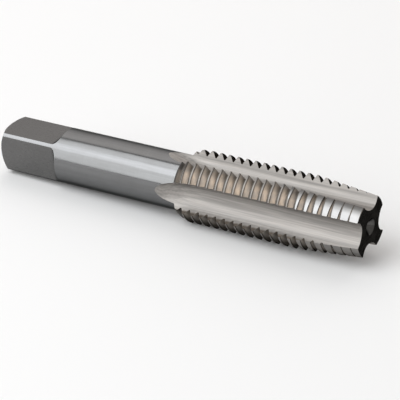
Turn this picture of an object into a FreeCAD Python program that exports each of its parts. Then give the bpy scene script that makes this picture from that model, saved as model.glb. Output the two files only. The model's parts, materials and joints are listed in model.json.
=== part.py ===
# Hand tap for cutting internal threads: four straight flutes, plug chamfer, square drive.
# Built point upwards along its own axis, then laid down the way it rests on a table.
import FreeCAD, Part
import math
import os
from FreeCAD import Vector

os.makedirs("parts", exist_ok=True)

# Driving dimensions in millimetres and degrees
overall_len = 107.4
major_d = 19.05
pitch = 2.54
root_d = 15.75
flute_count = 4
shank_d = 14.8

# Threaded length, measured back from the point
full_thread_len = 49.4
back_cone_len = 2.4
back_cone_d = 17.0
back_shoulder_len = 0.7
chamfer_len = 17.0
chamfer_tip_r = 7.8
chamfer_heel_drop = 0.55
crest_at_zero = 50.44

# Flute section: cutting face with a little hook, rounded root, hollow floor
hook_deg = 5.0
face_foot_r = 7.0
flute_root_r = 2.9
flute_floor_r = 5.4
floor_starts_deg = 66.0

# Grinding wheel that leaves the flute run-outs
wheel_r = 32.0
wheel_lean_deg = 44.0
flute_full_len = 44.0

# Drive end
square_flats = 11.1
square_len = 18.35
square_fillet_r = 2.0
square_turn_deg = 6.0
end_chamfer_len = 1.15
end_crown = 0.08
end_face_d = 11.2

# Centre holes in both ends
centre_mouth_d = 4.4
centre_drill_d = 2.0
centre_drill_depth = 2.2
centre_angle_deg = 60.0
drill_point_deg = 118.0

# Values that follow from the ones above
major_r = major_d / 2
root_r = root_d / 2
shank_r = shank_d / 2
land_pitch_deg = 360.0 / flute_count
clear = 2.0
axis = Vector(0, 0, 1)
centre = Vector(0, 0, 0)


def turned(points, crowned, crown):
    """Solid turned from (radius, height) pairs, with a crown on the side after the one numbered crowned."""
    corners = [Vector(r, 0, z) for r, z in points]
    sides = []
    for start, stop in zip(corners, corners[1:] + corners[:1]):
        sides.append(Part.LineSegment(start, stop).toShape())
    start, stop = corners[crowned], corners[crowned + 1]
    out = Vector(0, 1, 0).cross(stop - start).normalize()
    top = (start + stop) * 0.5 + out * crown
    sides[crowned] = Part.Arc(start, top, stop).toShape()
    return Part.Face(Part.Wire(sides)).revolve(centre, axis, 360)


def around(shape, index, rise=0.0):
    """Copy of a shape turned to the flute or land with this index and lifted by rise."""
    copy = shape.copy()
    copy.rotate(centre, axis, index * land_pitch_deg)
    copy.translate(Vector(0, 0, rise))
    return copy


# Blank with both centre holes, the back cone of the thread and the crowned chamfer of the drive end
mouth_r = centre_mouth_d / 2
drill_r = centre_drill_d / 2
mouth_depth = (mouth_r - drill_r) / math.tan(math.radians(centre_angle_deg / 2))
point_depth = drill_r / math.tan(math.radians(drill_point_deg / 2))
hole_depth = mouth_depth + centre_drill_depth
full_thread_z = overall_len - full_thread_len
cone_foot_z = full_thread_z - back_cone_len
shoulder_z = cone_foot_z - back_shoulder_len
outline = [
    (0, hole_depth + point_depth),
    (drill_r, hole_depth),
    (drill_r, mouth_depth),
    (mouth_r, 0),
    (end_face_d / 2, 0),
    (shank_r, end_chamfer_len),
    (shank_r, shoulder_z),
    (back_cone_d / 2, cone_foot_z),
    (major_r, full_thread_z),
    (major_r, overall_len),
    (mouth_r, overall_len),
    (drill_r, overall_len - mouth_depth),
    (drill_r, overall_len - hole_depth),
    (0, overall_len - hole_depth - point_depth),
]
blank = turned(outline, outline.index((end_face_d / 2, 0)), end_crown)

# Flute section, its cutting edge at the point on the X axis and the gap towards positive Y
far = major_r + clear
hook = math.radians(hook_deg)
turn = math.radians(floor_starts_deg)
face_dir = Vector(math.cos(hook), math.sin(hook), 0)
face_foot = Vector(chamfer_tip_r, 0, 0) - face_dir * (chamfer_tip_r - face_foot_r)


def down_by(angle):
    """Direction across the flute floor, turned by an angle from straight across the face."""
    return Vector(-math.sin(angle), -math.cos(angle), 0)


root_centre = face_foot - down_by(-hook) * flute_root_r
root_mid = root_centre + down_by((turn - hook) / 2) * flute_root_r
floor_start = root_centre + down_by(turn) * flute_root_r
floor_centre = floor_start - down_by(turn) * flute_floor_r


def face_meets(radius, lift=Vector()):
    """Point where the cutting face, moved by lift, reaches a circle about the tap's axis."""
    foot = face_foot + lift
    along = -foot.dot(face_dir)
    nearest = foot + face_dir * along
    return nearest + face_dir * math.sqrt(radius ** 2 - nearest.Length ** 2)


def floor_meets(radius, lift=Vector()):
    """Point where the hollow floor, moved by lift, reaches a circle about the tap's axis."""
    middle = floor_centre + lift
    reach = middle.Length
    along = (radius ** 2 - flute_floor_r ** 2 + reach ** 2) / (2 * reach)
    side = math.sqrt(radius ** 2 - along ** 2)
    bearing = math.atan2(middle.y, middle.x) + math.atan2(side, along)
    return Vector(radius * math.cos(bearing), radius * math.sin(bearing), 0)


def bearing_deg(point):
    """Angle of a point about the tap's axis."""
    return math.degrees(math.atan2(point.y, point.x))


face_end = face_meets(far)
floor_end = floor_meets(far)
floor_mid = (floor_start + floor_end) * 0.5 - floor_centre
floor_mid = floor_centre + floor_mid.normalize() * flute_floor_r
face_out = face_end + Vector(clear, 0, 0)
floor_out = floor_end + Vector(clear, clear, 0)
section = Part.Face(Part.Wire([
    Part.LineSegment(face_end, face_foot).toShape(),
    Part.Arc(face_foot, root_mid, floor_start).toShape(),
    Part.Arc(floor_start, floor_mid, floor_end).toShape(),
    Part.LineSegment(floor_end, floor_out).toShape(),
    Part.LineSegment(floor_out, face_out).toShape(),
    Part.LineSegment(face_out, face_end).toShape(),
]))

# Flute cutter: straight along the thread, then lifted out on the curve of the wheel
flute_z = overall_len - flute_full_len
section.translate(Vector(0, 0, flute_z))
lean = math.radians(wheel_lean_deg)
outward = Vector(math.cos(lean), math.sin(lean), 0)
floor_depth = floor_start.dot(outward)
wheel_centre = outward * (floor_depth + wheel_r)
wheel_centre.z = flute_z
wheel_axis = Vector(-math.sin(lean), math.cos(lean), 0)
straight = section.extrude(Vector(0, 0, flute_full_len + clear))
lifted = section.revolve(wheel_centre, wheel_axis, -50)
flute_cutter = straight.fuse(lifted)

# At the back of the thread the wheel has begun to lift and the flute is a little narrower
lift = wheel_r - math.sqrt(wheel_r ** 2 - (full_thread_len - flute_full_len) ** 2)
back_edge_deg = bearing_deg(face_meets(major_r, outward * lift))
back_heel_deg = bearing_deg(floor_meets(major_r, outward * lift))

# The tap lies across one flute, so the middle of that opening faces straight down
first_edge_deg = 90 - (back_edge_deg + back_heel_deg) / 2
flute_cutter.rotate(centre, axis, first_edge_deg)
tap = blank
for index in range(flute_count):
    tap = tap.cut(around(flute_cutter, index))

# Chamfer of the lands, turned about a shifted centre so that each heel clears the hole
opening_deg = bearing_deg(floor_meets(chamfer_tip_r))
land_deg = land_pitch_deg - opening_deg
middle = math.radians(first_edge_deg - land_deg / 2)
half_land = math.radians(land_deg / 2)
shift = chamfer_heel_drop / (2 * math.sin(half_land))
shift_dir = Vector(-math.sin(middle), math.cos(middle), 0)
relief_centre = shift_dir * shift
edge_dir = Vector(math.cos(middle + half_land), math.sin(middle + half_land), 0)
slope = (major_r - chamfer_tip_r) / chamfer_len


def relief_radius(radius):
    """Radius about the shifted centre that meets the cutting edge at the wanted radius."""
    return (edge_dir * radius - relief_centre).Length


top_z = overall_len + clear
relief_len = chamfer_len + chamfer_heel_drop / slope + clear
low_r = relief_radius(chamfer_tip_r) - slope * clear
high_r = relief_radius(chamfer_tip_r) + slope * relief_len
corners = [
    Vector(low_r, 0, top_z),
    Vector(high_r, 0, overall_len - relief_len),
    Vector(high_r + clear, 0, overall_len - relief_len),
    Vector(high_r + clear, 0, top_z),
]
relief = Part.Face(Part.makePolygon(corners + [corners[0]]))
sweep_deg = land_deg + opening_deg / 2
relief = relief.revolve(centre, axis, sweep_deg)
relief.rotate(centre, axis, math.degrees(middle) - sweep_deg / 2)
relief.translate(relief_centre)
for index in range(flute_count):
    tap = tap.cut(around(relief, index))

# Thread: one comb of 60 degree grooves for each land, swept along the right-hand helix
flank = math.tan(math.radians(30))
sharp_height = pitch / 2 / flank
sharp_root_r = major_r - sharp_height * 7 / 8
crown_r = major_r + 0.04 * pitch
half_root = (root_r - sharp_root_r) * flank
half_crown = (crown_r - sharp_root_r) * flank
groove_z = overall_len - crest_at_zero + pitch / 2
count_back = math.ceil((groove_z - shoulder_z) / pitch)
count_front = math.ceil((overall_len - groove_z) / pitch)
comb = [Vector(far, 0, groove_z - (count_back + 0.5) * pitch)]
comb.append(Vector(crown_r, 0, comb[0].z))
for index in range(-count_back, count_front + 1):
    z = groove_z + index * pitch
    comb.append(Vector(crown_r, 0, z - half_crown))
    comb.append(Vector(root_r, 0, z - half_root))
    comb.append(Vector(root_r, 0, z + half_root))
    comb.append(Vector(crown_r, 0, z + half_crown))
comb.append(Vector(crown_r, 0, groove_z + (count_front + 0.5) * pitch))
comb.append(Vector(far, 0, comb[-1].z))
comb.append(comb[0])
start_deg = math.degrees(middle) - sweep_deg / 2
helix = Part.Wire(Part.makeHelix(pitch, pitch * sweep_deg / 360, major_r).Edges)
thread_cutter = helix.makePipeShell([Part.makePolygon(comb)], True, True)
thread_cutter.rotate(centre, axis, start_deg)
thread_cutter.translate(Vector(0, 0, pitch * start_deg / 360))
for index in range(flute_count):
    tap = tap.cut(around(thread_cutter, index, pitch * index / flute_count))

# Square for the wrench: four flats that rise to the round shank on a fillet
flat = square_flats / 2
flat_len = square_len - square_fillet_r
bend = square_fillet_r * (1 - math.sqrt(0.5))
half_width = shank_r + clear
lower = Vector(flat, -half_width, -clear)
flat_end = Vector(flat, -half_width, flat_len)
fillet_mid = Vector(flat + bend, -half_width, square_len - bend)
fillet_top = Vector(flat + square_fillet_r, -half_width, square_len)
side = Part.Face(Part.Wire([
    Part.LineSegment(lower, flat_end).toShape(),
    Part.Arc(flat_end, fillet_mid, fillet_top).toShape(),
    Part.LineSegment(fillet_top, Vector(far, -half_width, square_len)).toShape(),
    Part.LineSegment(Vector(far, -half_width, square_len), Vector(far, -half_width, -clear)).toShape(),
    Part.LineSegment(Vector(far, -half_width, -clear), lower).toShape(),
]))
flat_cutter = side.extrude(Vector(0, 2 * half_width, 0))
for index in range(4):
    tool = flat_cutter.copy()
    tool.rotate(centre, axis, square_turn_deg + index * 90)
    tap = tap.cut(tool)

# Lay the tap down: point towards X, resting on two land corners and the end of the shank
half_opening = math.radians(back_heel_deg - back_edge_deg) / 2
support_height = major_r * math.cos(half_opening)
tilt = math.atan2(support_height - shank_r, full_thread_z - square_len)
tap.rotate(centre, Vector(1, 1, 1), 120)
tap.rotate(centre, Vector(0, 1, 0), -math.degrees(tilt))
lowest = square_len * math.sin(tilt) - shank_r * math.cos(tilt)
front = overall_len * math.cos(tilt)
front += chamfer_tip_r * math.cos(half_opening) * math.sin(tilt)
rear = -end_face_d / 2 * math.sin(tilt)
drive_end = Vector(-(front + rear) / 2, 0, -lowest)
tap.translate(drive_end)

tap = tap.Solids[0]
print("tap valid", tap.isValid(), "volume", round(tap.Volume, 2), "mm3")
print("tilt", round(math.degrees(tilt), 5), "degrees, drive end centre", drive_end)
print("cutting edge at", round(first_edge_deg, 3), "land", round(land_deg, 3), "degrees")
tap.exportStep("parts/tap.step")
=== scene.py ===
# %% [markdown]
# A hand tap cuts a thread inside a drilled hole. It is one bar of hard tool steel: a threaded and fluted
# cutting body with a tapered point, a plain round shank, and a square end that a wrench turns. The packed
# model gives its place and size, so the lesson starts from that frame and never moves it.

# %% Load the frame
import json
import math

import bmesh
import bpy
import numpy as np
from mathutils import Matrix, Vector


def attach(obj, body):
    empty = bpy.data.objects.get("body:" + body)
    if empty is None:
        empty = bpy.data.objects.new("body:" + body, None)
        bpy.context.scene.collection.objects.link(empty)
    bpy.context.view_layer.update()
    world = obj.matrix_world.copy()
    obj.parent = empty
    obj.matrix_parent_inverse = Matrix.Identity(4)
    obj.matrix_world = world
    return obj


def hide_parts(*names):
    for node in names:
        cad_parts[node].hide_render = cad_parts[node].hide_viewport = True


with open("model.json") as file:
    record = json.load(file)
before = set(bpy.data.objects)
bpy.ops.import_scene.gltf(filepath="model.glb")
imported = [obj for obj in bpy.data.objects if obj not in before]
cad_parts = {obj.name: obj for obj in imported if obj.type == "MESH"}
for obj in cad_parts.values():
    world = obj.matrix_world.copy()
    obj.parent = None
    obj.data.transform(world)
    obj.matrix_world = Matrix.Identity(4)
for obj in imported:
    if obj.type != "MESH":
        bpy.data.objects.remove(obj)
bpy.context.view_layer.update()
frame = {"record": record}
mounts = {mount["name"]: mount for mount in frame["record"]["mounts"]}

# %% [markdown]
# The sizes below are those of the real tool, in millimetres. Height is measured along the tap from the
# drive end to the point, and angles run round its axis as seen from the point. Everything is worked out
# in that upright frame and is laid down at the end.

# %% Sizes of the tap
MM = 0.001
overall_len = 107.4
major_r = 19.05 / 2
pitch = 2.54
root_r = 15.75 / 2
shank_r = 14.8 / 2
land_count = 4
quadrant = 2 * math.pi / land_count

thread_len = 49.4
cone_len = 2.4
cone_foot_r = 17.0 / 2
shoulder_len = 0.7
full_thread_z = overall_len - thread_len
cone_foot_z = full_thread_z - cone_len
shoulder_z = cone_foot_z - shoulder_len
print("thread from", round(shoulder_z, 2), "to", overall_len)

# %% [markdown]
# Each flute is ground by a wheel with a rounded edge. Across the tap its section is a straight cutting
# face with a little hook, a round root and a hollow floor. One number runs along that section: it is zero
# at the foot of the cutting face, negative up the face and positive round the root and along the floor.

# %% Flute section
hook = math.radians(5.0)
tip_r = 7.8
face_foot_r = 7.0
flute_root_r = 2.9
flute_floor_r = 5.4
floor_start = math.radians(66.0)
floor_stop = math.radians(160.0)
face_reach = 6.0

face_dir = np.array([math.cos(hook), math.sin(hook)])
face_foot = np.array([tip_r, 0.0]) - face_dir * (tip_r - face_foot_r)


def across(angle):
    """Unit vector that points down into the flute, turned by an angle: minus sine, minus cosine."""
    return np.stack([-np.sin(angle), -np.cos(angle)], axis=-1)


root_centre = face_foot - across(-hook) * flute_root_r
floor_centre = root_centre + across(floor_start) * (flute_root_r - flute_floor_r)
root_length = flute_root_r * (floor_start + hook)
section_end = root_length + flute_floor_r * (floor_stop - floor_start)


def flute_section(along):
    """Points of the section at these distances along it.

    Up the face: the foot less the face's direction times the distance, which is negative there. Round the
    root and the floor: the centre plus the radius times the unit vector at distance over radius."""
    along = np.asarray(along, dtype=float)[..., None]
    face = face_foot - face_dir * along
    root_angle = along[..., 0] / flute_root_r - hook
    root = root_centre + across(root_angle) * flute_root_r
    floor_angle = floor_start + (along[..., 0] - root_length) / flute_floor_r
    floor = floor_centre + across(floor_angle) * flute_floor_r
    return np.where(along < 0, face, np.where(along < root_length, root, floor))


print("section length", round(section_end + face_reach, 2), "mm")

# %% [markdown]
# The wheel runs straight along the thread and then lifts out on its own curve, which leaves the long
# tongue on the shank. Past the point where it starts to lift, every point of the section rides a circle
# about the wheel's axle, so the section moves outwards and its floor becomes a hollow ramp.

# %% Flute run-out
wheel_r = 32.0
wheel_lean = math.radians(44.0)
flute_len = 44.0
flute_z = overall_len - flute_len
outward = np.array([math.cos(wheel_lean), math.sin(wheel_lean)])
sideways = np.array([-math.sin(wheel_lean), math.cos(wheel_lean)])
axle = flute_section(root_length) @ outward + wheel_r


def flute_point(along, z):
    """Point of the flute's surface at a height, across the tap.

    Past the straight part, its distance from the axle's plane is the root of (its own reach squared less
    the height below the straight part squared)."""
    points = flute_section(along)
    reach = axle - points @ outward
    below = np.clip(flute_z - z, 0, None)
    lifted = axle - np.sqrt(np.clip(reach ** 2 - below ** 2, 0, None))
    return lifted[..., None] * outward + (points @ sideways)[..., None] * sideways


def flute_radius(along, z):
    """Distance of a flute point from the tap's axis."""
    return np.linalg.norm(flute_point(along, z), axis=-1)


print("wheel's axle", round(float(axle), 2), "mm from the axis of the tap")

# %% [markdown]
# Two questions come back for every row: where is the flute nearest to the axis, and where does it reach a
# given radius? The run-out has no handy formula for either, so both answers are found by narrowing a
# range, step by step and for all heights at once. The first range shrinks by thirds and the second by
# halves.

# %% Searches along the section
THIRDS_STEPS = 60
HALVING_STEPS = 50
floor_margin = 1.0


def flute_bottom(z):
    """Place in the section that is nearest the axis: the third on the side that lies higher is cut off."""
    low = np.full_like(z, -face_reach / 2)
    high = np.full_like(z, section_end - floor_margin)
    for _ in range(THIRDS_STEPS):
        first = low + (high - low) / 3
        second = high - (high - low) / 3
        rising = flute_radius(first, z) < flute_radius(second, z)
        high = np.where(rising, second, high)
        low = np.where(rising, low, first)
    return (low + high) / 2


def halve(holds, inner, outer, steps=HALVING_STEPS):
    """Narrow range in which a test stops holding: its middle replaces one end, over and over."""
    for _ in range(steps):
        middle = (inner + outer) / 2
        held = holds(middle)
        inner = np.where(held, middle, inner)
        outer = np.where(held, outer, middle)
    return inner, outer


def flute_meets(z, radius, side):
    """Place in the section that lies at a radius: side -1 is up the face, 1 along the floor."""
    far_end = np.full_like(z, -face_reach if side < 0 else section_end)
    inner, outer = halve(lambda place: flute_radius(place, z) < radius, flute_bottom(z), far_end)
    return (inner + outer) / 2


front_z = np.array([overall_len])
print("core radius", round(float(flute_radius(flute_bottom(front_z), front_z)[0]), 2), "mm")

# %% [markdown]
# The tap lies across one flute, so its turn comes from where that flute opens at the back of the full
# thread. The lands are what is left between the flutes. The section's angle zero is the cutting edge at
# the very point, so one turn sets all four lands.

# %% Turn of the flutes and lands
rise = wheel_r - math.sqrt(wheel_r ** 2 - (flute_z - full_thread_z) ** 2)


def bearing(points):
    """Angle of a point about the tap's axis."""
    return np.arctan2(points[..., 1], points[..., 0])


def raised_meets(radius, centre, side):
    """Angle where the lifted face or floor reaches a radius.

    The face runs on from the point of its line that is nearest the axis, by the root of (radius squared
    less that distance squared). The floor's circle reaches it at the angle of the law of cosines."""
    raised = centre + outward * rise
    if side < 0:
        nearest = raised - face_dir * (raised @ face_dir)
        point = nearest + face_dir * math.sqrt(radius ** 2 - nearest @ nearest)
        return math.atan2(point[1], point[0])
    reach = math.hypot(*raised)
    nearest = (radius ** 2 - flute_floor_r ** 2 + reach ** 2) / (2 * reach)
    return math.atan2(raised[1], raised[0]) + math.acos(nearest / radius)


back_edge = raised_meets(major_r, face_foot, -1)
back_heel = raised_meets(major_r, floor_centre, 1)
first_edge = math.pi / 2 - (back_edge + back_heel) / 2
opening = float(bearing(flute_point(flute_meets(front_z, tip_r, 1), front_z))[0])
land = quadrant - opening
land_middle = first_edge - land / 2
print("cutting edge at", round(math.degrees(first_edge), 3), "land", round(math.degrees(land), 3))

# %% [markdown]
# Before it is threaded the tap is a turned blank: shank, a short shoulder and cone, the full diameter,
# and the long chamfer at the point. The chamfer is ground about a shifted centre on each land, so the
# heel is lower than the cutting edge and only the edge touches the work.

# %% Blank with its relieved chamfer
chamfer_len = 17.0
heel_drop = 0.55
slope = (major_r - tip_r) / chamfer_len
shift = heel_drop / (2 * math.sin(land / 2))
tip_reach = math.sqrt(tip_r ** 2 - 2 * tip_r * shift * math.sin(land / 2) + shift ** 2)


def off_middle(phi):
    """Angle from the middle of the nearest land."""
    return (phi - land_middle + quadrant / 2) % quadrant - quadrant / 2


def blank_radius(z, phi):
    """Outside radius before threading: straight pieces between named heights, cut by the chamfer.

    The chamfer is a cone about the shifted centre, so its radius here is shift times sine plus the root of
    its reach squared less (shift times cosine) squared."""
    turned = np.interp(z, [shoulder_z, cone_foot_z, full_thread_z], [shank_r, cone_foot_r, major_r])
    reach = tip_reach + slope * (overall_len - z)
    angle = off_middle(phi)
    chamfer = shift * np.sin(angle) + np.sqrt(reach ** 2 - (shift * np.cos(angle)) ** 2)
    return np.minimum(turned, chamfer)


def chamfer_start(phi):
    """Height where the chamfer leaves the full diameter, from the same triangle solved for its reach."""
    angle = off_middle(phi)
    reach = np.sqrt(major_r ** 2 + shift ** 2 - 2 * major_r * shift * np.sin(angle))
    return overall_len - (reach - tip_reach) / slope


for place, phi in (("edge", first_edge), ("heel", first_edge - land)):
    print("chamfer at the", place, round(float(overall_len - chamfer_start(phi)), 1), "mm long")

# %% [markdown]
# The thread is a 60 degree groove on a right-hand helix. Its walls climb until they meet the blank, so
# the flat crests are narrow on the full thread and widen along the chamfer, where the teeth are cut off.
# The rows of the mesh follow the helix and lie exactly on the edges of each root and crest, which keeps
# them crisp. The V of the groove would come to its sharp bottom seven eighths of its full height below
# the crest, and the flat root cuts it off before that. A crest passes the angle zero at a known distance
# from the point, which fixes the helix.

# %% Thread groove
half_angle = math.radians(30)
crest_at_zero = 50.44
flank = math.tan(half_angle)
sharp_height = pitch / 2 / flank
sharp_root_r = major_r - sharp_height * 7 / 8
half_root = (root_r - sharp_root_r) * flank
groove_z = overall_len - crest_at_zero + pitch / 2


def outer_radius(z, phi):
    """Radius of the threaded land: the blank or the groove, whichever is lower."""
    offset = (z - groove_z - pitch * phi / (2 * math.pi) + pitch / 2) % pitch - pitch / 2
    groove = root_r + np.clip(np.abs(offset) - half_root, 0, None) / flank
    return np.minimum(groove, blank_radius(z, phi))


WALL_STEPS = 40


def wall_width(centre, side, phi):
    """Distance from a groove's centre to where its wall meets the blank, found by halving."""

    def under_blank(width):
        """Whether the wall is still below the blank at this distance."""
        return root_r + (width - half_root) / flank < blank_radius(centre + side * width, phi)

    nearest = np.full_like(centre, half_root)
    farthest = np.full_like(centre, pitch / 2)
    return halve(under_blank, nearest, farthest, WALL_STEPS)[0]


print("root", round(2 * half_root, 3), "mm wide, groove", round(major_r - root_r, 3), "mm deep")

# %% [markdown]
# One turn of the helix gives seven rows of points: both edges of the root, the top of the wall, three
# places where the blank may bend between this groove and the next, and the top of the next wall. Where it
# doesn't bend there, those three rows slide onto the top of one wall or the other, and the points that
# coincide are merged later. So every turn has the same rows, and one formula gives them all.

# %% Rows that follow the helix
ROW_KINDS = 7


def row_height(kind, turn, phi):
    """Height of a row at an angle: pitch times the turns up to there, plus the row's place in the groove."""
    centre = groove_z + pitch * (turn + phi / (2 * math.pi))
    top = centre + wall_width(centre, 1, phi)
    following = np.maximum(top, centre + pitch - wall_width(centre + pitch, -1, phi))
    heights = [
        centre - half_root,
        centre + half_root,
        top,
        np.clip(cone_foot_z, top, following),
        np.clip(full_thread_z, top, following),
        np.clip(chamfer_start(phi), top, following),
        following,
    ]
    return np.clip(np.choose(kind, heights), shoulder_z, overall_len)


print("turns of the groove", round((overall_len - shoulder_z) / pitch, 1), "with", ROW_KINDS, "rows each")

# %% [markdown]
# Between the flutes the mesh has a fixed number of columns on each land, and another number down the
# cutting face, round the root and up the floor. Inside columns depend on height alone, so that rows which
# stop at the point or at the shoulder end in the same corners. Only the outermost ones follow the teeth,
# and the inside ones stay a small margin clear of them. Their limits are worked out at many heights and
# read off in between.

# %% Columns of a land and a flute
LAND_COLUMNS = 16
FLUTE_COLUMNS = 34
QUADRANT_COLUMNS = LAND_COLUMNS + FLUTE_COLUMNS
COLUMNS = land_count * QUADRANT_COLUMNS
STATIONS = 801
edge_margin = 0.08
hair_turn = 1e-6
station_z = np.linspace(shoulder_z, overall_len, STATIONS)
ease = edge_margin * np.clip((station_z - shoulder_z) / shoulder_len, 0, 1)
edge_blank = blank_radius(station_z, np.full_like(station_z, land_middle + land / 2 - hair_turn))
heel_blank = blank_radius(station_z, np.full_like(station_z, land_middle - land / 2 + hair_turn))
face_place = flute_meets(station_z, edge_blank + ease, -1)
heel_place = flute_meets(station_z, heel_blank + ease, 1)
edge_angle = bearing(flute_point(face_place, station_z))
heel_angle = bearing(flute_point(heel_place, station_z)) - quadrant
face_inner = flute_meets(station_z, np.minimum(edge_blank, root_r) - ease, -1)
heel_inner = flute_meets(station_z, np.minimum(heel_blank, root_r) - ease, 1)


def land_angle(share, z):
    """Angle of an inside land column, from the heel at share 0 to the cutting edge at share 1."""
    low = np.interp(z, station_z, heel_angle)
    high = np.interp(z, station_z, edge_angle)
    return low + (high - low) * share


def flute_place(share, z):
    """Place in the section of an inside flute column, from the face at share 0 to the floor at 1."""
    low = np.interp(z, station_z, face_inner)
    high = np.interp(z, station_z, heel_inner)
    return low + (high - low) * share


print("columns round the tap", COLUMNS)

# %% [markdown]
# Each row leaves a land at two corners: at the cutting edge and at the heel. The height of a corner
# follows from its angle, as the row climbs, and its angle follows from its height, as the flute's edge is
# not straight. So the two take turns for a few rounds, after which neither moves any more.

# %% Corners and points of a row
CORNER_ROUNDS = 10


def solve_corner(kind, turn, land_index, side):
    """Height and angle where a row leaves a land: side -1 is its cutting edge, 1 its heel."""
    flute_turn = first_edge + quadrant * (land_index if side < 0 else land_index - 1)
    phi = flute_turn + (0.0 if side < 0 else opening) + np.zeros(np.broadcast(kind, turn).shape)
    for _ in range(CORNER_ROUNDS):
        z = row_height(kind, turn, phi)
        place = flute_meets(z, outer_radius(z, phi), side)
        phi = bearing(flute_point(place, z)) + flute_turn
    return z, phi


def polar(radius, phi, z):
    """Point from its radius, angle and height: radius times cosine, radius times sine, height."""
    return np.stack([radius * np.cos(phi), radius * np.sin(phi), z + 0 * phi], axis=-1)


def land_point(z, phi):
    """Point of the threaded land at a height and an angle."""
    return polar(outer_radius(z, phi), phi, z)


def turned_flute_point(place, z, flute_index):
    """Flute point in space, turned to the flute with this number."""
    flat = flute_point(place, z)
    phi = bearing(flat) + first_edge + quadrant * flute_index
    return polar(np.linalg.norm(flat, axis=-1), phi, z)


corner_z, corner_phi = solve_corner(np.array([0]), np.array([0]), 0, -1)
print("a corner lies at", round(math.degrees(corner_phi[0]), 2), "degrees, height", round(corner_z[0], 2))

# %% [markdown]
# Each row starts at the heel of the first land and runs once round the tap: over a land to its cutting
# edge, down the face, through the flute and up to the next heel. On a land the angle and the height of a
# point depend on each other, because the row climbs with the helix, so both are worked out in a few
# rounds until they settle.

# %% Rows of the threaded body
LAND_ROUNDS = 6
SPARE_TURNS = 2
first_turn = math.floor((shoulder_z - groove_z) / pitch) - SPARE_TURNS
last_turn = math.ceil((overall_len - groove_z) / pitch)
turns = np.repeat(np.arange(first_turn, last_turn + 1), ROW_KINDS)
kinds = np.tile(np.arange(ROW_KINDS), last_turn - first_turn + 1)
grid = []
for index in range(land_count):
    heel_z, heel_phi = solve_corner(kinds, turns, index, 1)
    edge_z, edge_phi = solve_corner(kinds, turns, index, -1)
    next_z, next_phi = solve_corner(kinds, turns, index + 1, 1)
    grid.append(land_point(heel_z, heel_phi)[:, None])
    share = np.arange(1, LAND_COLUMNS) / LAND_COLUMNS
    z = heel_z[:, None] + (edge_z - heel_z)[:, None] * share
    for _ in range(LAND_ROUNDS):
        phi = land_angle(share, z) + first_edge + quadrant * index
        z = row_height(kinds[:, None], turns[:, None], phi)
    grid.append(land_point(z, phi))
    grid.append(land_point(edge_z, edge_phi)[:, None])
    share = np.arange(1, FLUTE_COLUMNS) / FLUTE_COLUMNS
    z = edge_z[:, None] + (next_z - edge_z)[:, None] * share
    grid.append(turned_flute_point(flute_place(share, z), z, index))
grid.append(land_point(next_z, next_phi)[:, None])
body = np.concatenate(grid, axis=1)
print("threaded body", body.shape[0], "rows of", body.shape[1], "points")

# %% [markdown]
# Behind the shoulder the flutes go on as tongues that end in a rounded tip. The rows are level here, and
# they crowd towards the tip by the square of their number, because the tongue's width falls as a square
# root.

# %% Rows of the tongues
TONGUE_ROWS = 26


def find_tongue_tip():
    """Height where the lifted flute only just touches the shank, by halving.

    The search starts where the wheel has lifted by half the shank's radius, which is behind the tip."""
    ahead = np.array([shoulder_z])
    behind = np.array([flute_z - math.sqrt(wheel_r ** 2 - (wheel_r - shank_r / 2) ** 2)])
    lowest_cut = halve(lambda z: flute_radius(flute_bottom(z), z) < shank_r, ahead, behind)[0]
    return float(lowest_cut[0])


def full_ring(radius, phi, z):
    """Level ring from one quadrant's points: repeated for each quadrant, then closed by the first point."""
    phi = np.concatenate([phi + quadrant * k for k in range(land_count)])
    phi = np.append(phi, phi[0] + 2 * math.pi)
    radius = np.append(np.tile(radius, land_count), radius[0])
    return polar(radius, phi, np.full_like(phi, z))


def level_row(z):
    """One level ring of points with the lands and flutes that it crosses."""
    heights = np.array([z])
    face = float(flute_meets(heights, shank_r, -1)[0])
    heel = float(flute_meets(heights, shank_r, 1)[0])
    places = face + (heel - face) * np.arange(FLUTE_COLUMNS + 1) / FLUTE_COLUMNS
    flute = flute_point(places, np.full_like(places, z))
    flute_phi = bearing(flute)
    flute_r = np.linalg.norm(flute, axis=-1)
    low = flute_phi[-1] - quadrant
    land_phi = low + (flute_phi[0] - low) * np.arange(LAND_COLUMNS) / LAND_COLUMNS
    phi = np.concatenate([land_phi, flute_phi[:-1]])
    radius = np.concatenate([np.full(LAND_COLUMNS, shank_r), flute_r[:-1]])
    return full_ring(radius, phi + first_edge, z)


tongue_z = find_tongue_tip()
fall = (1 - np.arange(TONGUE_ROWS + 1) / TONGUE_ROWS) ** 2
tongue = np.stack([level_row(tongue_z + (shoulder_z - tongue_z) * share) for share in fall])
print("tongue tip", round(overall_len - tongue_z, 2), "mm from the point")

# %% [markdown]
# The square is four flats milled on the round shank. Each flat rises to the shank on the milling cutter's
# 2 mm radius, and its outline is where that surface meets the cylinder: the angle whose cosine is the
# flat's height over the shank's radius. The chamfer of the drive end bulges a little, on an arc whose
# radius follows from its length and its bulge.

# %% Levels of the square end
flat_height = 11.1 / 2
flat_fillet_r = 2.0
flat_stop_z = 18.35
flat_turn = math.radians(6.0)
end_chamfer_z = 1.15
end_crown = 0.08
end_face_r = 11.2 / 2

climb = flat_height + flat_fillet_r - shank_r
flat_top_z = flat_stop_z - flat_fillet_r + math.sqrt(flat_fillet_r ** 2 - climb ** 2)


def flat_level(z):
    """Height of a flat above the axis: constant, then the lower quarter of a 2 mm circle."""
    run = np.clip(z - (flat_stop_z - flat_fillet_r), 0, flat_fillet_r)
    return flat_height + flat_fillet_r - np.sqrt(flat_fillet_r ** 2 - run ** 2)


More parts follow.
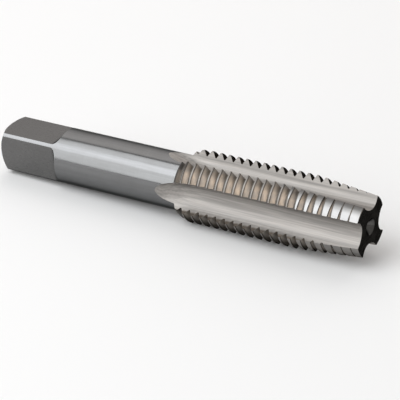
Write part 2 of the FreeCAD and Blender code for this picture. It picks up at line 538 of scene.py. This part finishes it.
chamfer_side = math.hypot(shank_r - end_face_r, end_chamfer_z)
crown_r = (chamfer_side ** 2 / 4 + end_crown ** 2) / (2 * end_crown)
chamfer_lean = math.atan2(shank_r - end_face_r, end_chamfer_z)
crown_centre_r = (shank_r + end_face_r) / 2 - (crown_r - end_crown) * math.cos(chamfer_lean)
crown_centre_z = end_chamfer_z / 2 + (crown_r - end_crown) * math.sin(chamfer_lean)


def turned_level(z):
    """Radius of the turned drive end: the arc of its crowned chamfer, then the shank."""
    run = np.clip(z, 0, end_chamfer_z) - crown_centre_z
    return crown_centre_r + np.sqrt(crown_r ** 2 - run ** 2)


print("flats reach", round(flat_top_z, 2), "mm from the drive end, crown radius", round(crown_r, 1))

# %% [markdown]
# A level ring of the drive end has as many columns as the rest: the land columns cross a corner strip and
# the flute columns cross a flat. The flat's points lie on a straight line, so their radius is the flat's
# height over the cosine of the angle from its middle. Rings crowd where the fillet begins, as its outline
# is steepest there.

# %% Rows of the square
FILLET_ROWS = 16
FLAT_ROWS = 12
CHAMFER_ROWS = 6


def square_row(z):
    """Level ring of the drive end: even steps across each corner strip and each flat."""
    radius = float(turned_level(z))
    level = min(float(flat_level(z)), radius)
    half = math.acos(level / radius)
    strip = np.arange(LAND_COLUMNS) / LAND_COLUMNS
    strip_phi = flat_turn + half + (quadrant - 2 * half) * strip
    flat_phi = flat_turn + quadrant - half + 2 * half * np.arange(FLUTE_COLUMNS) / FLUTE_COLUMNS
    flat_r = level / np.cos(flat_phi - flat_turn - quadrant)
    ring_r = np.concatenate([np.full(LAND_COLUMNS, radius), flat_r])
    return full_ring(ring_r, np.concatenate([strip_phi, flat_phi]), z)


fillet = flat_top_z - flat_fillet_r * (np.arange(FILLET_ROWS + 1) / FILLET_ROWS) ** 2
straight = np.linspace(fillet[-1], end_chamfer_z, FLAT_ROWS + 1)[1:]
bevel = np.linspace(end_chamfer_z, 0, CHAMFER_ROWS + 1)[1:]
square = np.stack([square_row(z) for z in np.concatenate([fillet, straight, bevel])])
print("square", square.shape[0], "rows")

# %% [markdown]
# The columns of the tongues and those of the square stand at different angles. Along the shank they are
# first spread evenly, over its first third, and then gathered for the square over its last third, so that
# the faces of the round part stay even.

# %% Rows of the shank
SHANK_ROWS = 30
THIRDS = 3


def ring_angles(row):
    """Angles of a ring of points, growing without a jump."""
    return np.unwrap(bearing(row))


start_phi = ring_angles(tongue[-1])
stop_phi = ring_angles(square[0])
stop_phi += 2 * math.pi * np.round((start_phi - stop_phi).mean() / (2 * math.pi))
even_phi = (start_phi + stop_phi).mean() / 2 + 2 * math.pi * (np.arange(COLUMNS + 1) / COLUMNS - 0.5)
blend = np.linspace(0, 1, SHANK_ROWS + 1)[1:-1, None]
from_tongue = np.clip(1 - blend * THIRDS, 0, 1)
from_square = np.clip(blend * THIRDS - (THIRDS - 1), 0, 1)
shank_phi = even_phi + from_tongue * (start_phi - even_phi) + from_square * (stop_phi - even_phi)
shank_z = tongue_z + (flat_top_z - tongue_z) * blend
shank = polar(np.full_like(shank_phi, shank_r), shank_phi, shank_z)
print("shank", shank.shape[0], "rows from", round(tongue_z, 2), "down to", round(flat_top_z, 2))

# %% [markdown]
# Both ends have a 60 degree centre hole, which held the bar between two points of the grinding machine.
# Its rings use the same columns, so each end closes in one piece: outline, mouth, cone, pilot hole and
# drill point. At the point the hooked cutting faces lean in under their edges, so the mouth's points
# beside each edge are turned back, which keeps the end face from folding over.

# %% End faces with centre holes
mouth_r = 4.4 / 2
pilot_r = 2.0 / 2
pilot_len = 2.2
centre_half_angle = math.radians(30)
drill_half_angle = math.radians(59)
mouth_depth = (mouth_r - pilot_r) / math.tan(centre_half_angle)
pilot_depth = mouth_depth + pilot_len
drill_depth = pilot_depth + pilot_r / math.tan(drill_half_angle)
hole = [(mouth_r, 0), (pilot_r, mouth_depth), (pilot_r, pilot_depth), (0.0, drill_depth)]


def hole_rings(phi, z, inwards):
    """Rings of a centre hole at one end, going inwards along the axis."""
    rings = [polar(np.full_like(phi, r), phi, np.full_like(phi, z + inwards * d)) for r, d in hole]
    return np.stack(rings)


drive_hole = hole_rings(ring_angles(square[-1]), 0.0, 1)
tip_phi = ring_angles(body[-1])
edge_columns = np.arange(land_count) * QUADRANT_COLUMNS + LAND_COLUMNS
pull_back = math.radians(14.0)
knots = np.concatenate([[k, k + FLUTE_COLUMNS // 4] for k in edge_columns])
pull = np.concatenate([[pull_back, 0.0]] * land_count)
turn_back = np.interp(np.arange(COLUMNS + 1), knots, pull, period=COLUMNS)
tip_hole = hole_rings(tip_phi - turn_back, overall_len, -1)[::-1]
print("centre holes", round(drill_depth, 2), "mm deep")

# %% [markdown]
# All rows now follow one another from the bottom of the hole in the point to the bottom of the hole in
# the drive end. Neighbouring rows share their columns, so one rule makes every face, and points that
# coincide are merged: the two ends of each helical row, the crests that have no width and the tips of the
# tongues.

# %% Assemble the surface
rows = np.concatenate([tip_hole, body[::-1], tongue[1:], shank, square, drive_hole])
drive_end = np.array(mounts["drive_centre"]["pos_m"]) / MM
along_axis = -np.array(mounts["drive_centre"]["axis"])


def lay_down(points):
    """From the upright frame to the part's: height runs along the tap, which leans in the X-Z plane."""
    upward = np.array([-along_axis[2], 0.0, along_axis[0]])
    side = np.array([0.0, 1.0, 0.0])
    placed = points[..., 2:] * along_axis + points[..., :1] * side + points[..., 1:2] * upward
    return (placed + drive_end) * MM


number = np.arange(rows.shape[0] * rows.shape[1]).reshape(rows.shape[:2])
quads = np.stack([number[:-1, :-1], number[1:, :-1], number[1:, 1:], number[:-1, 1:]], axis=-1)
print("grid", rows.shape, "faces", quads.shape[0] * quads.shape[1])

# %% [markdown]
# A real tap shows several finishes on one bar. The flutes are ground and matt, the shank is polished, the
# square is milled and the chamfer is bright. Here each face takes its finish from its place in the grid,
# as rows tell the thread, the shank and the square apart and columns tell a land from a flute. The land
# that lies uppermost towards the camera gets lit copies of the thread's finishes as painted light, and the
# others get shaded copies as painted shade.

# %% Finish of each face
FINISHES = ["ground_flute", "lit_flank", "shaded_flank", "thread_root", "thread_crest", "chamfer_crest",
            "shaded_land_crest", "polished_shank", "milled_flat", "turned_end", "dark_point", "centre_hole"]
FLUTE, LIT_FLANK, SHADED_FLANK, ROOT, CREST, BRIGHT, SHADED_LAND_CREST, SHANK, FLAT, END, POINT, HOLE = range(len(FINISHES))
LIT_LAND = 1
RUN_IN = 0.4
row_number = np.arange(quads.shape[0])[:, None]
column_number = np.arange(quads.shape[1])[None, :]
on_land = column_number % QUADRANT_COLUMNS < LAND_COLUMNS
on_lit_land = column_number // QUADRANT_COLUMNS == LIT_LAND
body_start = len(tip_hole)
tongue_start = body_start + len(body) - 1
shank_start = tongue_start + len(tongue)
square_start = shank_start + len(shank)
hole_start = square_start + len(square) - 1
chamfer_from = hole_start - CHAMFER_ROWS
print("rows: body", body_start, "tongues", tongue_start, "shank", shank_start, "square", square_start)

# %% [markdown]
# In the thread the kind of the row says what a strip of faces is: the root between the two walls, a wall,
# or a piece of the crest. Walls and crests take lit copies on the uppermost land and shaded copies on the
# others, as painted light and shade. The unfinished teeth behind the full thread, up to a short way before
# it starts, are given the colour of the crests instead. The other rules go from the tongues to the drive
# end and then to the point, and a later one overrules an earlier one.

# %% Finish of the thread, the shank and the ends
thread_kinds = np.zeros(quads.shape[0], dtype=int)
thread_kinds[body_start:tongue_start] = kinds[::-1][1:]
# Painted light and shade: lit copies for the uppermost land, shaded copies for the other lands.
on_lit = np.choose(thread_kinds, [ROOT, LIT_FLANK, CREST, CREST, CREST, BRIGHT, LIT_FLANK])[:, None]
on_shaded = np.choose(thread_kinds, [ROOT, SHADED_FLANK, SHADED_LAND_CREST, SHADED_LAND_CREST, SHADED_LAND_CREST, SHADED_LAND_CREST, SHADED_FLANK])[:, None]
finish = np.where(on_land, np.where(on_lit_land, on_lit, on_shaded), FLUTE)
unfinished = (row_number >= body_start) & (rows[:-1, :-1, 2] < full_thread_z - RUN_IN)
rules = [
    (unfinished & ((finish == SHADED_FLANK) | (finish == LIT_FLANK)), CREST),
    ((row_number >= tongue_start) & on_land, SHANK),
    ((row_number >= shank_start - 1) & (row_number < square_start), SHANK),
    ((row_number >= square_start) & ~on_land, FLAT),
    ((row_number >= chamfer_from) & on_land, END),
    (row_number >= hole_start, END),
    (row_number < body_start - 1, HOLE),
    (row_number == body_start - 1, POINT),
]
for faces, look in rules:
    finish = np.where(faces, look, finish)
print({name: int((finish == index).sum()) for index, name in enumerate(FINISHES)})

# %% [markdown]
# Painted shade and light inside a groove change over less than a millimetre, so the mesh keeps four numbers
# at each point for the finishes to read: its share of the way from a land's heel to its cutting edge, how
# deep it lies below the crest, how much painted light it gets, which grows up the wall and towards the
# cutting edge, and how far up the back of a tooth it lies.

# %% Marks kept in the mesh
EDGE_LIGHT_SHARE = 1.3
tooth_height = major_r - root_r
body_r = np.hypot(body[..., 0], body[..., 1])
below_blank = np.clip(blank_radius(body[..., 2], bearing(body)) - body_r, 0, tooth_height)
above_root = np.clip(body_r - root_r, 0, tooth_height) / tooth_height
column = np.arange(COLUMNS + 1) % QUADRANT_COLUMNS
across_land = np.clip(column / LAND_COLUMNS, 0, 1)


def over_body(values):
    """Values of the threaded body, in the order of all rows and zero elsewhere."""
    field = np.zeros(rows.shape[:2])
    field[body_start:body_start + len(body)] = values[::-1]
    return field.reshape(-1)


MARKS = {
    "land_share": over_body(np.broadcast_to(across_land, body_r.shape)),
    "groove_depth": over_body(below_blank),
    "painted_groove_light": over_body(above_root + EDGE_LIGHT_SHARE * across_land),
    "heel_side": over_body(np.where(column == 0, above_root, 0)),
}
print({name: round(float(values.max()), 3) for name, values in MARKS.items()})

# %% [markdown]
# The grid now becomes one closed mesh. Edges sharper than 14 degrees stay crisp, which separates flanks,
# crests and cutting edges. The round shank gets the normals of a true cylinder, because a polished bar
# shows the smallest facet as a kink in its bright band.

# %% Make the mesh
SHARP_ANGLE = math.radians(14)
MERGE_DISTANCE = 0.0015 * MM


def add_object(name, data):
    """Object with this data, put into the scene at the origin."""
    made = bpy.data.objects.new(name, data)
    bpy.context.collection.objects.link(made)
    return made


def read_out(items, field, width=1, kind=float):
    """One field of all items of a mesh as an array, with so many numbers for each item."""
    values = np.zeros(len(items) * width, dtype=kind)
    items.foreach_get(field, values)
    return values.reshape(-1, width) if width > 1 else values


def round_shank_normals(mesh):
    """Gives the round shank a true cylinder's normals: each corner's offset from the axis, made unit."""
    normals = read_out(mesh.corner_normals, "vector", 3)
    corners = read_out(mesh.loops, "vertex_index", kind=np.int32)
    offset = read_out(mesh.vertices, "co", 3)[corners] - drive_end * MM
    offset -= (offset @ along_axis)[:, None] * along_axis
    finishes = read_out(mesh.polygons, "material_index", kind=np.int32)
    on_shank = np.repeat(finishes == SHANK, read_out(mesh.polygons, "loop_total", kind=np.int32))
    normals[on_shank] = offset[on_shank] / np.linalg.norm(offset[on_shank], axis=1, keepdims=True)
    mesh.normals_split_custom_set(normals)


def build_tap():
    """Makes the mesh from the grid, merges what coincides and gives each face its finish."""
    mesh = bpy.data.meshes.new("tap_body")
    mesh.from_pydata(lay_down(rows.reshape(-1, 3)), [], quads.reshape(-1, 4))
    mesh.polygons.foreach_set("material_index", finish.reshape(-1).astype(np.int32))
    for name, values in MARKS.items():
        mesh.attributes.new(name, "FLOAT", "POINT").data.foreach_set("value", values)
    shell = bmesh.new()
    shell.from_mesh(mesh)
    bmesh.ops.remove_doubles(shell, verts=shell.verts, dist=MERGE_DISTANCE)
    bmesh.ops.dissolve_degenerate(shell, dist=MERGE_DISTANCE / 3, edges=shell.edges)
    print("open or crossed edges", sum(not edge.is_manifold for edge in shell.edges))
    print("volume", round(shell.calc_volume(signed=True) / MM ** 3), "mm3")
    shell.to_mesh(mesh)
    shell.free()
    mesh.polygons.foreach_set("use_smooth", np.ones(len(mesh.polygons), dtype=bool))
    mesh.set_sharp_from_angle(angle=SHARP_ANGLE)
    round_shank_normals(mesh)
    return add_object("tap_body", mesh)


tap = build_tap()
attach(tap, "root")
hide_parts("tap")
print("triangles", sum(len(face.vertices) - 2 for face in tap.data.polygons))

# %% [markdown]
# Every finish starts from plain steel and adds what its machining left. Patterns are read in the object's
# own space, turned by the lean of the tap so that their first direction runs along it, and each is sized
# in millimetres: a long thin grain for a flute that was ground lengthwise, narrow rings for turned and
# threaded parts.

# %% Helpers for the finishes
lean = math.atan2(along_axis[2], along_axis[0])


class Finish:
    """A steel material under construction: its nodes, its links and its shader."""

    def __init__(self, name, roughness):
        self.material = bpy.data.materials.new(name)
        self.material.use_nodes = True
        self.nodes = self.material.node_tree.nodes
        self.links = self.material.node_tree.links
        self.shader = self.nodes["Principled BSDF"]
        self.shader.inputs["Metallic"].default_value = 1.0
        self.shader.inputs["Roughness"].default_value = roughness
        self.roughness = roughness

    def node(self, kind, **settings):
        """New node of this kind with the inputs that are named here set; a low line stands for a space."""
        made = self.nodes.new("ShaderNode" + kind)
        for name, value in settings.items():
            made.inputs[name.replace("_", " ")].default_value = value
        return made

    def noise(self, size, detail=3.0):
        """Noise whose blobs have this size in millimetres along, across and above the tap."""
        place = self.node("TexCoord")
        turn = self.node("Mapping", Rotation=(0.0, -lean, 0.0), Scale=[length * MM for length in size])
        turn.vector_type = "TEXTURE"
        pattern = self.node("TexNoise", Scale=1.0, Detail=detail)
        self.links.new(place.outputs["Object"], turn.inputs["Vector"])
        self.links.new(turn.outputs["Vector"], pattern.inputs["Vector"])
        return pattern.outputs["Fac"]

    def ramp(self, value, stops):
        """Colour ramp through stops of a position and a colour."""
        ramp = self.node("ValToRGB")
        elements = ramp.color_ramp.elements
        while len(elements) < len(stops):
            elements.new(0.5)
        for element, (position, colour) in zip(elements, stops):
            element.position = position
            element.color = (*colour, 1.0)
        self.links.new(value, ramp.inputs["Fac"])
        return ramp.outputs["Color"]

    def mark(self, name):
        """Value that the mesh keeps under this name."""
        mark = self.node("Attribute")
        mark.attribute_name = name
        return mark.outputs["Fac"]

    def multiply(self, first, second):
        """Product of two colours."""
        mix = self.node("Mix", Factor=1.0)
        mix.data_type = "RGBA"
        mix.blend_type = "MULTIPLY"
        self.links.new(first, mix.inputs["A"])
        self.links.new(second, mix.inputs["B"])
        return mix.outputs["Result"]

    def spread(self, value, low, high, start=0.3, stop=0.7):
        """Number from low to high as a value goes from start to stop; a noise goes from 0.3 to 0.7."""
        spread = self.node("MapRange", From_Min=start, From_Max=stop, To_Min=low, To_Max=high)
        self.links.new(value, spread.inputs["Value"])
        return spread.outputs["Result"]

    def bump(self, value, height):
        """Relief of this height in millimetres."""
        bump = self.node("Bump", Strength=1.0, Distance=height * MM)
        self.links.new(value, bump.inputs["Height"])
        self.links.new(bump.outputs["Normal"], self.shader.inputs["Normal"])

    def wire(self, colour, pattern, less, more):
        """Connects the colour, and a roughness that a pattern lowers by less and raises by more."""
        roughness = self.spread(pattern, self.roughness - less, self.roughness + more)
        self.links.new(colour, self.shader.inputs["Base Color"])
        self.links.new(roughness, self.shader.inputs["Roughness"])
        print(self.material.name, "has", len(self.nodes), "nodes")


def grey(level, warmth=0.0):
    """Steel colour: a grey level with its red raised and its blue lowered by a share."""
    return (level * (1 + warmth), level, level * (1 - warmth))


print("the tap leans", round(math.degrees(lean), 3), "degrees")

# %% [markdown]
# Flutes and cutting faces were ground along the tap by a coarse wheel and left matt. Two noises that are
# drawn out along the tap stand for it: hair-fine scratches, which also roughen the surface, and wider
# streaks. The outer backs of the teeth, by the heel, get a painted brown shade.

# %% Ground flutes and cutting faces
SCRATCH_SIZE = (12.0, 0.2, 0.2)
STREAK_SIZE = (22.0, 0.6, 0.6)
SCRATCH_DEPTH = 0.004


def ground(name, level, roughness):
    """Lengthwise ground steel: scratches times streaks, times painted shade up the backs of the teeth."""
    finish = Finish(name, roughness)
    scratches = finish.noise(SCRATCH_SIZE, detail=4.0)
    streaks = finish.noise(STREAK_SIZE)
    light = finish.ramp(scratches, [(0.3, grey(level * 0.82, 0.05)), (0.7, grey(level * 1.12, 0.065))])
    shade = finish.ramp(streaks, [(0.3, grey(0.68, -0.01)), (0.7, grey(1.0))])
    # Painted shade at the heel corner, up the backs of the teeth.
    heel = finish.ramp(finish.mark("heel_side"), [(0.25, grey(1.0)), (0.6, grey(0.34, 0.12))])
    finish.bump(scratches, SCRATCH_DEPTH)
    colour = finish.multiply(finish.multiply(light, shade), heel)
    finish.wire(colour, scratches, less=0.05, more=0.08)


ground("ground_flute", level=0.385, roughness=0.50)

# %% [markdown]
# The thread was ground by a wheel with the thread's own shape, which leaves rings in the groove. Oil and
# oxide give it a warm tint. Painted shade makes it darkest in a hair line under the crest and in the corner
# at the heel, and painted light makes it lighter in the middle and up the wall. The dark lands use the same
# recipe the other way round, as painted shade: brown at the heel and nearly black towards the cutting edge.

# %% Grooves of the thread
GROOVE_LIGHT_RANGE = 1.0 + EDGE_LIGHT_SHARE
RING_SIZE = (0.16, 40.0, 40.0)
OXIDE_SIZE = (2.5, 1.6, 1.6)
RING_DEPTH = 0.002


def groove(name, level, warmth, roughness, painted_ramp):
    """Thread wall: its tint, times painted shade under the crest, times painted light and shade across it.
    """
    finish = Finish(name, roughness)
    rings = finish.noise(RING_SIZE)
    oxide = finish.noise(OXIDE_SIZE)
    # Painted shade: a dark hair line just under the crest.
    under_crest = finish.ramp(finish.spread(finish.mark("groove_depth"), 0.0, 1.0, 0.0, tooth_height),
                              [(0.0, grey(0.35)), (0.10, grey(0.4)), (0.2, grey(1.0))])
    # Painted light and shade up the wall and across the land.
    painted_light = finish.ramp(finish.spread(finish.mark("painted_groove_light"), 0.0, 1.0, 0.0, GROOVE_LIGHT_RANGE), painted_ramp)
    tint = finish.ramp(oxide, [(0.35, grey(level, warmth)), (0.65, grey(level * 0.82, warmth * 0.6))])
    finish.bump(rings, RING_DEPTH)
    colour = finish.multiply(finish.multiply(under_crest, painted_light), tint)
    finish.wire(colour, rings, less=0.03, more=0.05)


# Painted light and shade across a land: lighter towards the cutting edge, or darker towards it.
light_at_edge = [(0.10, grey(0.45)), (0.40, grey(0.88)), (0.60, grey(1.0)), (0.85, grey(0.9))]
dark_at_edge = [(0.05, grey(1.0)), (0.3, grey(0.7)), (0.6, grey(0.2))]
# Painted light and shade: the lit copy for the uppermost land, the shaded copy for the others.
groove("lit_flank", level=0.515, warmth=0.13, roughness=0.30, painted_ramp=light_at_edge)
groove("shaded_flank", level=0.46, warmth=0.13, roughness=0.36, painted_ramp=dark_at_edge)

# %% [markdown]
# Roots, crests, shank and end chamfer were turned or ground round the tap, so their marks are very narrow
# rings. Handling adds faint rubs along the bar and slow patches of another tint. The bright chamfer crests
# get painted shade towards their relieved heels, and the centre hole is patchy with oxide. The shank is the
# smoothest of all: its relief is less than a thousandth of a millimetre, so that lamps and table show in it
# as sharp bands.

# %% Turned and ground round parts
RUB_SIZE = (25.0, 0.7, 0.7)
PATCH_SIZE = (4.0, 2.5, 2.5)


def ringed(name, level, warmth, roughness, relief, patches, painted_heel_shade=1.0):
    """Steel ground round the tap: rings times rubs, times slow patches of another tint.

    A last argument below 1 is the share of its light that a land keeps at the heel, as painted shade."""
    finish = Finish(name, roughness)
    rings = finish.noise(RING_SIZE)
    rubs = finish.noise(RUB_SIZE)
    cloud = finish.noise(PATCH_SIZE)
    light = finish.multiply(finish.ramp(rings, [(0.3, grey(0.93)), (0.7, grey(1.0))]),
                            finish.ramp(rubs, [(0.3, grey(0.9)), (0.7, grey(1.0))]))
    other = grey(level * (1 - patches), warmth * 0.5)
    tint = finish.ramp(cloud, [(0.35, grey(level, warmth)), (0.65, other)])
    finish.bump(rings, relief)
    colour = finish.multiply(light, tint)
    if painted_heel_shade < 1:
        # Painted shade towards the heel of each land.
        shade = finish.ramp(finish.mark("land_share"), [(0.0, grey(painted_heel_shade, 0.03)), (0.6, grey(1.0))])
        colour = finish.multiply(colour, shade)
    finish.wire(colour, rings, less=0.03, more=0.05)


ringed("thread_root", level=0.105, warmth=0.15, roughness=0.35, relief=0.0005, patches=0.2)
ringed("thread_crest", level=0.20, warmth=0.09, roughness=0.30, relief=0.0004, patches=0.08)
ringed("chamfer_crest", level=0.37, warmth=0.01, roughness=0.32, relief=0.0002, patches=0.06, painted_heel_shade=0.45)
# Crests of the other lands: their own copy of the crest finish, as painted light and shade.
ringed("shaded_land_crest", level=0.36, warmth=0.06, roughness=0.36, relief=0.001, patches=0.2)
ringed("polished_shank", level=0.217, warmth=-0.01, roughness=0.14, relief=0.0003, patches=0.05)
ringed("turned_end", level=0.20, warmth=0.01, roughness=0.25, relief=0.001, patches=0.05)
ringed("centre_hole", level=0.15, warmth=0.05, roughness=0.20, relief=0.002, patches=0.5)

# %% [markdown]
# The four flats were milled and show a short even grain. The face of the point was never ground after
# hardening, so it is nearly black and uneven.

# %% Flats and the point
GRAIN_SIZE = (0.9, 0.22, 0.22)
MOTTLE_SIZE = (3.0, 3.0, 3.0)
GRAIN_DEPTH = 0.002


def milled(name, level, warmth, roughness, mottle):
    """Steel with an even fine grain, times slow mottling."""
    finish = Finish(name, roughness)
    grain = finish.noise(GRAIN_SIZE, detail=4.0)
    cloud = finish.noise(MOTTLE_SIZE, detail=2.0)
    light = finish.ramp(grain, [(0.3, grey(level * 0.9, warmth)), (0.7, grey(level * 1.06, warmth))])
    shade = finish.ramp(cloud, [(0.3, grey(1 - mottle)), (0.7, grey(1.0))])
    finish.bump(grain, GRAIN_DEPTH)
    colour = finish.multiply(light, shade)
    finish.wire(colour, grain, less=0.05, more=0.06)


milled("milled_flat", level=0.158, warmth=0.01, roughness=0.30, mottle=0.03)
milled("dark_point", level=0.04, warmth=0.05, roughness=0.42, mottle=0.4)

# %% [markdown]
# Bare metal turns into a mirror at a grazing angle, but oxide and oil do not. The edge tint says how much
# of that is left: none in the grooves, a little on the dark, milled and polished parts, and all of it
# elsewhere. The tap takes its finishes in the order of their list, because the faces refer to them by
# number.

# %% Edge tints and order of the finishes
EDGE_TINT = {"lit_flank": 0.0, "shaded_flank": 0.0, "thread_root": 0.0, "shaded_land_crest": 0.2, "dark_point": 0.3,
             "polished_shank": 0.25, "milled_flat": 0.4, "centre_hole": 0.2}
for name in FINISHES:
    look = bpy.data.materials[name]
    tint = EDGE_TINT.get(name, 1.0)
    look.node_tree.nodes["Principled BSDF"].inputs["Specular Tint"].default_value = (tint, tint, tint, 1.0)
    tap.data.materials.append(look)
print("finishes on the tap", len(tap.data.materials))

# %% [markdown]
# The tap lies on a plain pale table, large enough to fill the picture from every side and to be seen in
# the steel. Its paint is matt, so it only adds a soft shadow and a bright underside.

# %% Table
TABLE_HALF = 0.80
TABLE_PAINT = 0.92
TABLE_ROUGHNESS = 0.9
TABLE_SHEEN = 0.1
floor_mesh = bpy.data.meshes.new("table")
table_corners = [(x * TABLE_HALF, y * TABLE_HALF, 0) for x, y in [(-1, -1), (1, -1), (1, 1), (-1, 1)]]
floor_mesh.from_pydata(table_corners, [], [(0, 1, 2, 3)])
floor = add_object("table", floor_mesh)
table_paint = bpy.data.materials.new("table_paint")
table_paint.use_nodes = True
table_shader = table_paint.node_tree.nodes["Principled BSDF"]
table_shader.inputs["Base Color"].default_value = (TABLE_PAINT, TABLE_PAINT, TABLE_PAINT, 1)
table_shader.inputs["Roughness"].default_value = TABLE_ROUGHNESS
table_shader.inputs["Specular IOR Level"].default_value = TABLE_SHEEN
floor_mesh.materials.append(table_paint)
print("table side", 2 * TABLE_HALF, "m")

# %% [markdown]
# The room is a dim even grey, which is what the steel mirrors between the lamps. Its level is chosen
# together with the lamps so that the white table comes out just below pure white and keeps its tone.

# %% Room
ROOM_LIGHT = (0.412, 0.408, 0.40, 1)
world = bpy.data.worlds.new("studio")
bpy.context.scene.world = world
world.use_nodes = True
world.node_tree.nodes["Background"].inputs["Color"].default_value = ROOM_LIGHT
bpy.context.scene.view_settings.view_transform = "Standard"
print("room", ROOM_LIGHT[:3])

# %% [markdown]
# A round polished bar shows a lamp as a band along it, and the band's width is the arc that the lamp
# covers as seen from the bar. So each lamp here is given by the two angles round the tap between which it
# stands, with 0 at the back, 90 overhead and 180 in front. One wide lamp above the front makes the broad
# bright band, a narrow one inside it gives the band its brighter and cooler core, and a weak warm one at
# the back lights the top.

# %% Lamps
LAMP_DISTANCE = 0.9
KEY_NEARER = 0.02


def softbox(name, sideways, first, last, spread, radiance, tint, distance=LAMP_DISTANCE):
    """Rectangular lamp that lights an arc of directions round the tap, from one angle to another.

    Its long side follows the arc and its short side spans the given angle along the tap. The power is pi
    times the area times the wanted brightness."""
    middle = math.radians(first + last) / 2
    half = math.radians(last - first) / 2
    off_axis = math.sqrt(1 - sideways ** 2)
    way = Vector((sideways, off_axis * math.cos(middle), off_axis * math.sin(middle)))
    along_arc = Vector((0.0, -math.sin(middle), math.cos(middle)))
    lamp = bpy.data.lights.new(name, "AREA")
    lamp.shape = "RECTANGLE"
    lamp.size = 2 * distance * math.tan(math.radians(spread) / 2)
    lamp.size_y = 2 * distance * off_axis * math.tan(half)
    lamp.energy = math.pi * lamp.size * lamp.size_y * radiance
    lamp.color = tint
    facing = Matrix((along_arc.cross(way), along_arc, way)).transposed().to_4x4()
    add_object(name, lamp).matrix_world = Matrix.Translation(way * distance) @ facing
    print(name, "sides", round(lamp.size, 3), round(lamp.size_y, 3), "m, watts", round(lamp.energy, 2))


PLAIN = (0.985, 1.0, 1.01)
COOL = (0.97, 0.99, 1.06)
WARM = (1.04, 0.99, 0.97)
softbox("wide_lamp", sideways=-0.36, first=92, last=173, spread=44, radiance=2.17, tint=PLAIN)
softbox("key_lamp", sideways=-0.40, first=113, last=137, spread=36, radiance=0.93, tint=COOL,
        distance=LAMP_DISTANCE - KEY_NEARER)
softbox("back_lamp", sideways=-0.28, first=8, last=77, spread=56, radiance=0.90, tint=WARM)

# %% [markdown]
# The camera looks down on the tap from the right front with a long lens, as in a catalogue picture. Its
# place was found by fitting the outlines of the model to those in the photograph: the direction first,
# then the distance, which sets how much smaller the far end looks, and last the lens, which sets the
# size. Three distances lead from a point on the axis to the camera: to the right, up, and back along the
# view.

# %% Camera
AZIMUTH = math.radians(31.48775)
ELEVATION = math.radians(26.23411)
RIGHT_MM = 4.39747
UP_MM = -4.55754
BACK_MM = 559.45689
LENS_MM = 196.489
SENSOR_MM = 36.0
VIEW_CENTRE_MM = 54.0
back = np.array([math.sin(AZIMUTH) * math.cos(ELEVATION), -math.cos(AZIMUTH) * math.cos(ELEVATION),
                 math.sin(ELEVATION)])
right = np.array([math.cos(AZIMUTH), math.sin(AZIMUTH), 0.0])
up = np.cross(back, right)
centre_of_view = lay_down(np.array([[0.0, 0.0, overall_len - VIEW_CENTRE_MM]]))[0]
eye = centre_of_view + (right * RIGHT_MM + up * UP_MM + back * BACK_MM) * MM
lens = bpy.data.cameras.new("camera")
lens.lens = LENS_MM
lens.sensor_width = SENSOR_MM
camera = add_object("camera", lens)
camera.location = eye
camera.rotation_euler = Vector(back).to_track_quat("Z", "Y").to_euler()
bpy.context.scene.camera = camera
print("camera at", [round(float(value), 4) for value in eye], "m")
